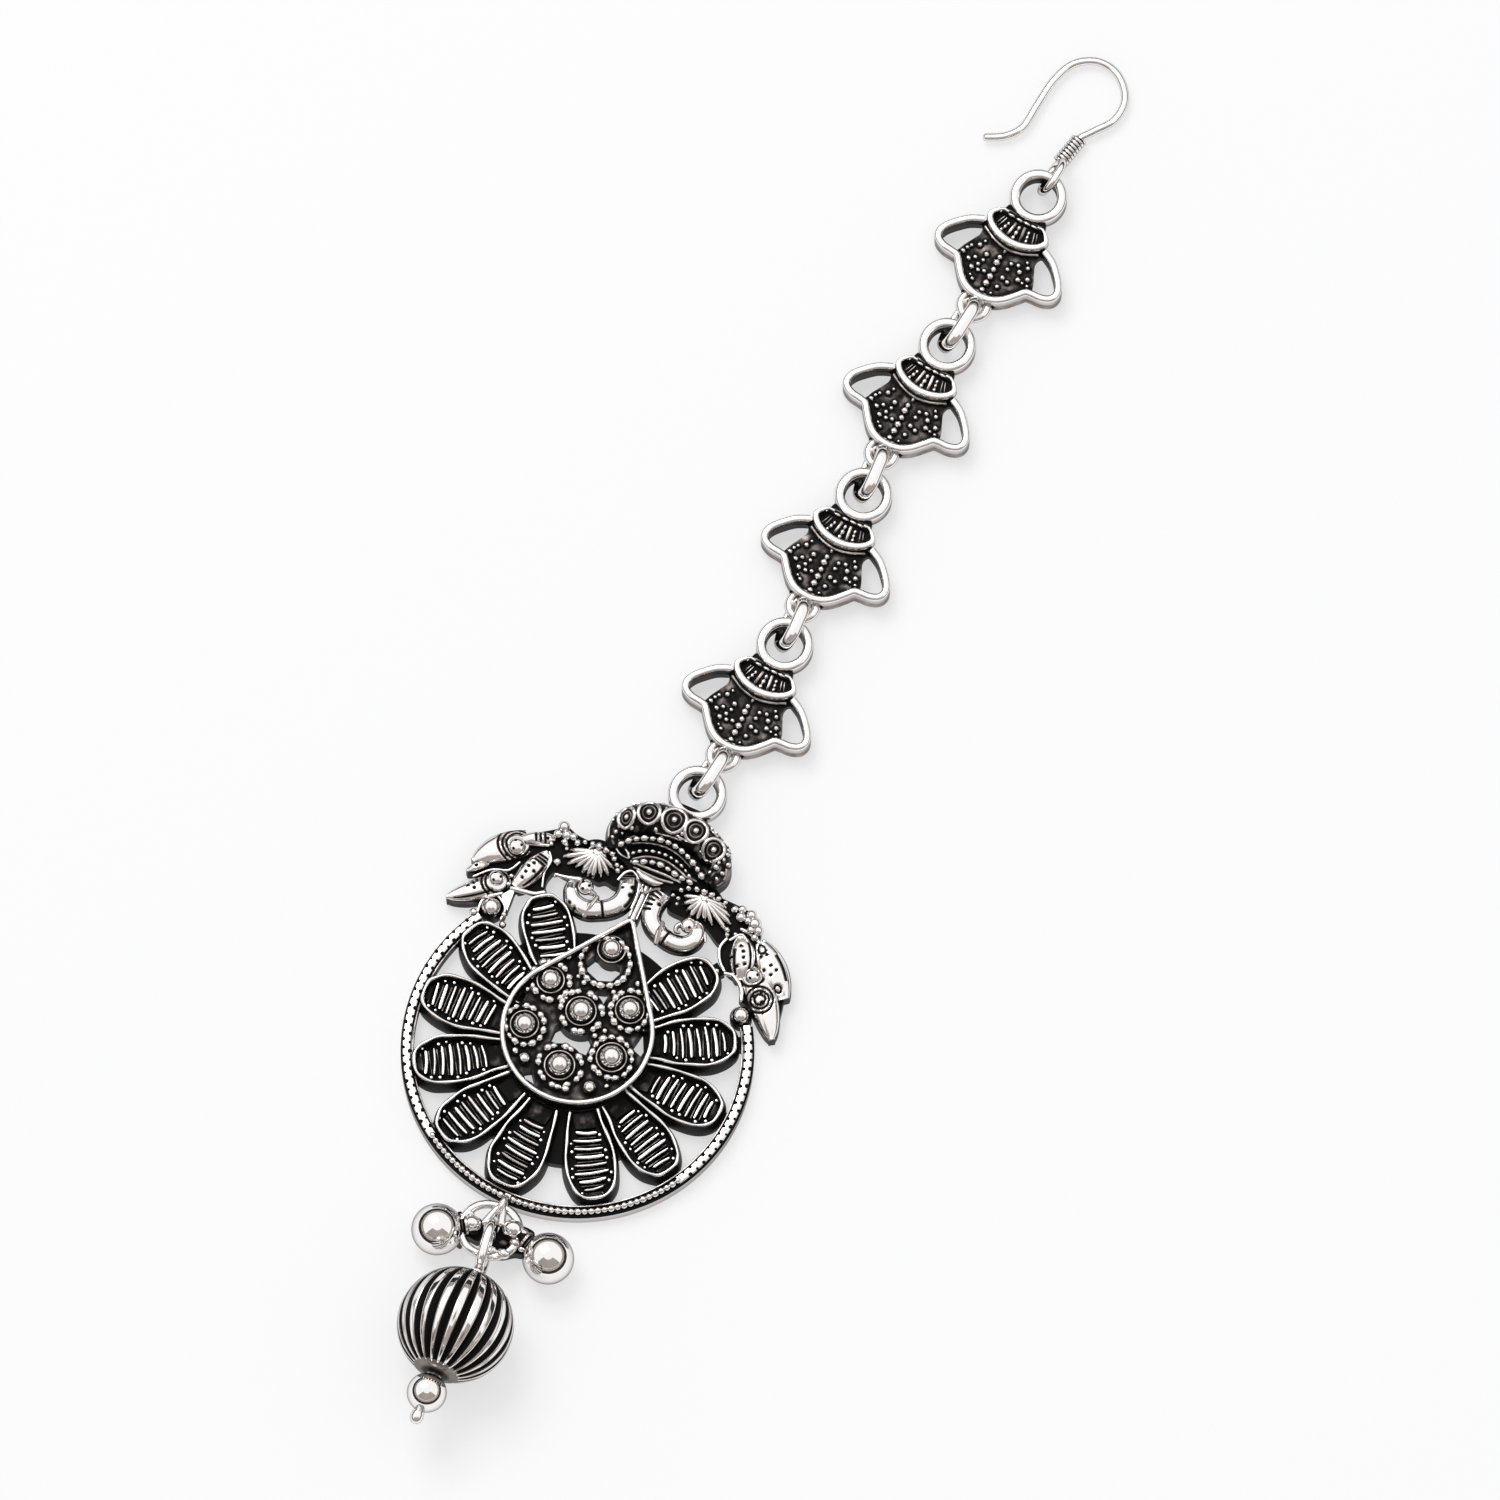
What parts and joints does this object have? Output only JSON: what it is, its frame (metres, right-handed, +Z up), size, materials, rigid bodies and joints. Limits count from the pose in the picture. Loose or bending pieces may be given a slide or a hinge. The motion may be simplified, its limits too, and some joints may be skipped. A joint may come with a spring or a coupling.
{
  "type": "maang tikka",
  "caption": "Forehead and hair ornament: round openwork medallion with a bead drop, a chain of cast leaf links and a wire hook.",
  "frame": {"origin": "middle of the medallion's round back, on the surface that the part lies on", "axes": "+Z up, away from the surface; +Y up the chain towards the hook; +X to the wearer's left as seen from the front"},
  "size_m": [0.036, 0.1602, 0.0117],
  "materials": {
    "medallion_metal": "cast white metal, polished high points over blackened recesses",
    "link_metal": "cast white metal, polished edges over blackened recesses",
    "drop_metal": "polished white metal, dark in the grooves",
    "wire_metal": "polished drawn wire"
  },
  "bodies": {
    "root": {"medallion": "medallion_metal", "ball_ring": "drop_metal", "drop_pin": "wire_metal", "melon_bead": "drop_metal", "drop_ball": "drop_metal", "link_1": "link_metal", "link_2": "link_metal", "link_3": "link_metal", "link_4": "link_metal", "jump_ring_1": "wire_metal", "jump_ring_2": "wire_metal", "jump_ring_3": "wire_metal", "jump_ring_4": "wire_metal", "hook": "wire_metal"}
  },
  "joints": []
}
